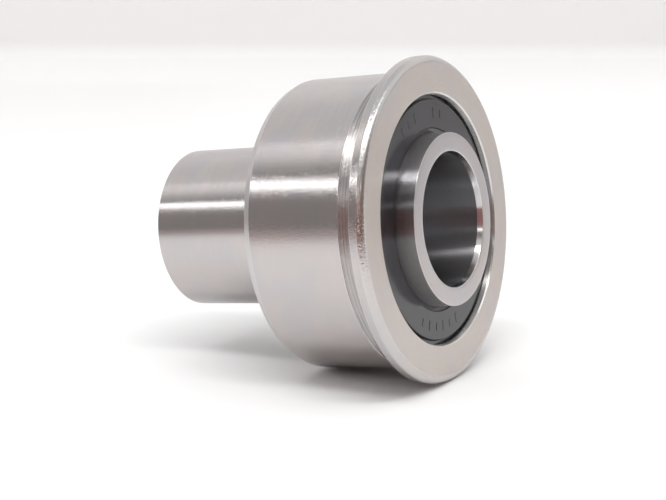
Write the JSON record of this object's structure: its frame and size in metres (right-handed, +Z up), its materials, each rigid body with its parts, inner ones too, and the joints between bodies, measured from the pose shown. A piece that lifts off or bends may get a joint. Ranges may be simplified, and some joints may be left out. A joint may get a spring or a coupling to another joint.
{
  "type": "flanged cam follower",
  "caption": "Sealed cam follower: a flanged steel roller turning on rows of balls around a long bored sleeve with a projecting hub.",
  "frame": {"origin": "on the axis of rotation, halfway along the roller (outer ring)", "axes": "+Y along the axis, from the flange and nose towards the long hub; +Z up, +X completes the right-handed frame"},
  "size_m": [0.0494, 0.0458, 0.0494],
  "materials": {
    "roller_steel": "ground and turned bearing steel, satin",
    "sleeve_steel": "finely ground bearing steel",
    "seal_rubber": "moulded nitrile rubber, semi-matt",
    "insert_steel": "pressed sheet steel",
    "cage_polyamide": "moulded polyamide",
    "ball_steel": "polished bearing steel"
  },
  "bodies": {
    "sleeve": {"sleeve": "sleeve_steel"},
    "roller": {"flanged_roller": "roller_steel", "front_seal": "seal_rubber", "front_seal_insert": "insert_steel", "rear_seal": "seal_rubber", "rear_seal_insert": "insert_steel"},
    "front_cage": {"front_cage": "cage_polyamide"},
    "front_ball_1": {"front_ball_1": "ball_steel"},
    "front_ball_2": {"front_ball_2": "ball_steel"},
    "front_ball_3": {"front_ball_3": "ball_steel"},
    "front_ball_4": {"front_ball_4": "ball_steel"},
    "front_ball_5": {"front_ball_5": "ball_steel"},
    "front_ball_6": {"front_ball_6": "ball_steel"},
    "front_ball_7": {"front_ball_7": "ball_steel"},
    "front_ball_8": {"front_ball_8": "ball_steel"},
    "front_ball_9": {"front_ball_9": "ball_steel"},
    "rear_cage": {"rear_cage": "cage_polyamide"},
    "rear_ball_1": {"rear_ball_1": "ball_steel"},
    "rear_ball_2": {"rear_ball_2": "ball_steel"},
    "rear_ball_3": {"rear_ball_3": "ball_steel"},
    "rear_ball_4": {"rear_ball_4": "ball_steel"},
    "rear_ball_5": {"rear_ball_5": "ball_steel"},
    "rear_ball_6": {"rear_ball_6": "ball_steel"},
    "rear_ball_7": {"rear_ball_7": "ball_steel"},
    "rear_ball_8": {"rear_ball_8": "ball_steel"},
    "rear_ball_9": {"rear_ball_9": "ball_steel"}
  },
  "joints": [
    {"name": "roller_spin", "type": "hinge", "parent": "sleeve", "child": "roller", "pos_m": [0, 0, 0], "axis": [0, 1, 0], "continuous": true},
    {"name": "front_cage_spin", "type": "hinge", "parent": "sleeve", "child": "front_cage", "pos_m": [0, -0.00375, 0], "axis": [0, 1, 0], "continuous": true},
    {"name": "front_ball_1_spin", "type": "hinge", "parent": "front_cage", "child": "front_ball_1", "pos_m": [0, -0.00375, 0.0159], "axis": [0, 1, 0], "continuous": true},
    {"name": "front_ball_2_spin", "type": "hinge", "parent": "front_cage", "child": "front_ball_2", "pos_m": [0.01022, -0.00375, 0.01218], "axis": [0, 1, 0], "continuous": true},
    {"name": "front_ball_3_spin", "type": "hinge", "parent": "front_cage", "child": "front_ball_3", "pos_m": [0.01566, -0.00375, 0.00276], "axis": [0, 1, 0], "continuous": true},
    {"name": "front_ball_4_spin", "type": "hinge", "parent": "front_cage", "child": "front_ball_4", "pos_m": [0.01377, -0.00375, -0.00795], "axis": [0, 1, 0], "continuous": true},
    {"name": "front_ball_5_spin", "type": "hinge", "parent": "front_cage", "child": "front_ball_5", "pos_m": [0.00544, -0.00375, -0.01494], "axis": [0, 1, 0], "continuous": true},
    {"name": "front_ball_6_spin", "type": "hinge", "parent": "front_cage", "child": "front_ball_6", "pos_m": [-0.00544, -0.00375, -0.01494], "axis": [0, 1, 0], "continuous": true},
    {"name": "front_ball_7_spin", "type": "hinge", "parent": "front_cage", "child": "front_ball_7", "pos_m": [-0.01377, -0.00375, -0.00795], "axis": [0, 1, 0], "continuous": true},
    {"name": "front_ball_8_spin", "type": "hinge", "parent": "front_cage", "child": "front_ball_8", "pos_m": [-0.01566, -0.00375, 0.00276], "axis": [0, 1, 0], "continuous": true},
    {"name": "front_ball_9_spin", "type": "hinge", "parent": "front_cage", "child": "front_ball_9", "pos_m": [-0.01022, -0.00375, 0.01218], "axis": [0, 1, 0], "continuous": true},
    {"name": "rear_cage_spin", "type": "hinge", "parent": "sleeve", "child": "rear_cage", "pos_m": [0, 0.00375, 0], "axis": [0, 1, 0], "continuous": true},
    {"name": "rear_ball_1_spin", "type": "hinge", "parent": "rear_cage", "child": "rear_ball_1", "pos_m": [0, 0.00375, 0.0159], "axis": [0, 1, 0], "continuous": true},
    {"name": "rear_ball_2_spin", "type": "hinge", "parent": "rear_cage", "child": "rear_ball_2", "pos_m": [0.01022, 0.00375, 0.01218], "axis": [0, 1, 0], "continuous": true},
    {"name": "rear_ball_3_spin", "type": "hinge", "parent": "rear_cage", "child": "rear_ball_3", "pos_m": [0.01566, 0.00375, 0.00276], "axis": [0, 1, 0], "continuous": true},
    {"name": "rear_ball_4_spin", "type": "hinge", "parent": "rear_cage", "child": "rear_ball_4", "pos_m": [0.01377, 0.00375, -0.00795], "axis": [0, 1, 0], "continuous": true},
    {"name": "rear_ball_5_spin", "type": "hinge", "parent": "rear_cage", "child": "rear_ball_5", "pos_m": [0.00544, 0.00375, -0.01494], "axis": [0, 1, 0], "continuous": true},
    {"name": "rear_ball_6_spin", "type": "hinge", "parent": "rear_cage", "child": "rear_ball_6", "pos_m": [-0.00544, 0.00375, -0.01494], "axis": [0, 1, 0], "continuous": true},
    {"name": "rear_ball_7_spin", "type": "hinge", "parent": "rear_cage", "child": "rear_ball_7", "pos_m": [-0.01377, 0.00375, -0.00795], "axis": [0, 1, 0], "continuous": true},
    {"name": "rear_ball_8_spin", "type": "hinge", "parent": "rear_cage", "child": "rear_ball_8", "pos_m": [-0.01566, 0.00375, 0.00276], "axis": [0, 1, 0], "continuous": true},
    {"name": "rear_ball_9_spin", "type": "hinge", "parent": "rear_cage", "child": "rear_ball_9", "pos_m": [-0.01022, 0.00375, 0.01218], "axis": [0, 1, 0], "continuous": true}
  ],
  "couplings": [
    {"joint": "front_cage_spin", "follows": "roller_spin", "ratio": 0.60608},
    {"joint": "front_ball_1_spin", "follows": "roller_spin", "ratio": 2.2505},
    {"joint": "front_ball_2_spin", "follows": "roller_spin", "ratio": 2.2505},
    {"joint": "front_ball_3_spin", "follows": "roller_spin", "ratio": 2.2505},
    {"joint": "front_ball_4_spin", "follows": "roller_spin", "ratio": 2.2505},
    {"joint": "front_ball_5_spin", "follows": "roller_spin", "ratio": 2.2505},
    {"joint": "front_ball_6_spin", "follows": "roller_spin", "ratio": 2.2505},
    {"joint": "front_ball_7_spin", "follows": "roller_spin", "ratio": 2.2505},
    {"joint": "front_ball_8_spin", "follows": "roller_spin", "ratio": 2.2505},
    {"joint": "front_ball_9_spin", "follows": "roller_spin", "ratio": 2.2505},
    {"joint": "rear_cage_spin", "follows": "roller_spin", "ratio": 0.60608},
    {"joint": "rear_ball_1_spin", "follows": "roller_spin", "ratio": 2.2505},
    {"joint": "rear_ball_2_spin", "follows": "roller_spin", "ratio": 2.2505},
    {"joint": "rear_ball_3_spin", "follows": "roller_spin", "ratio": 2.2505},
    {"joint": "rear_ball_4_spin", "follows": "roller_spin", "ratio": 2.2505},
    {"joint": "rear_ball_5_spin", "follows": "roller_spin", "ratio": 2.2505},
    {"joint": "rear_ball_6_spin", "follows": "roller_spin", "ratio": 2.2505},
    {"joint": "rear_ball_7_spin", "follows": "roller_spin", "ratio": 2.2505},
    {"joint": "rear_ball_8_spin", "follows": "roller_spin", "ratio": 2.2505},
    {"joint": "rear_ball_9_spin", "follows": "roller_spin", "ratio": 2.2505}
  ]
}
